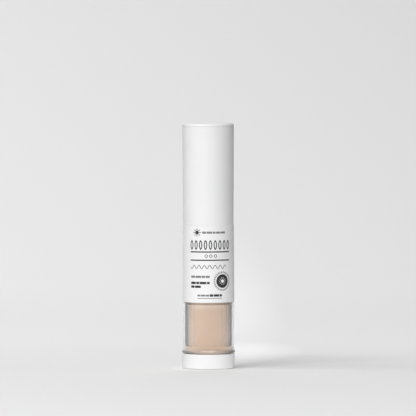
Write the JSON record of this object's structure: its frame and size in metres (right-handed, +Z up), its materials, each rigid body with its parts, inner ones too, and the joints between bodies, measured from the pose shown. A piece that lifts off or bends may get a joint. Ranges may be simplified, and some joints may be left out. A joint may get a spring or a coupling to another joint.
{
  "type": "powder sunscreen brush",
  "caption": "Slim capped brush that carries loose powder in a clear double-walled container and feeds it up through its bristles by a twist valve.",
  "frame": {"origin": "centre of the foot, on the surface that the container stands on", "axes": "+Z up along the container's axis to the closed end of the cap, -Y towards the front of the label"},
  "size_m": [0.0252, 0.0252, 0.1173],
  "materials": {
    "white_gloss_plastic": "satin gloss",
    "white_sleeve_plastic": "satin gloss",
    "white_valve_plastic": "matte",
    "clear_plastic": "polished clear",
    "label_film": "semi-gloss film",
    "beige_powder": "loose powder",
    "grey_silicone": "matte",
    "drawn_aluminium": "bright drawn",
    "cream_fibre": "soft synthetic fibre"
  },
  "bodies": {
    "container": {"base_cap": "white_gloss_plastic", "outer_shell": "clear_plastic", "powder_jar": "clear_plastic", "powder_fill": "beige_powder", "sifter_plate": "white_valve_plastic"},
    "brush_head": {"body_sleeve": "white_sleeve_plastic", "wrap_label": "label_film", "coupling_ring": "white_valve_plastic", "neck_seal": "grey_silicone", "valve_gasket": "grey_silicone", "shutter_disc": "white_valve_plastic", "powder_funnel": "white_valve_plastic", "brush_collar": "white_sleeve_plastic", "feed_tube": "white_valve_plastic", "ferrule": "drawn_aluminium", "tuft_base": "white_valve_plastic", "bristle_tuft": "cream_fibre"},
    "cap": {"cap_shell": "white_gloss_plastic", "cap_liner": "white_valve_plastic"}
  },
  "joints": [
    {"name": "twist_valve", "type": "hinge", "parent": "container", "child": "brush_head", "pos_m": [0, 0, 0.0569], "axis": [0, 0, 1], "range_deg": [0, 60]},
    {"name": "cap_pull", "type": "slide", "parent": "brush_head", "child": "cap", "axis": [0, 0, 1], "range_m": [0, 0.06]}
  ]
}
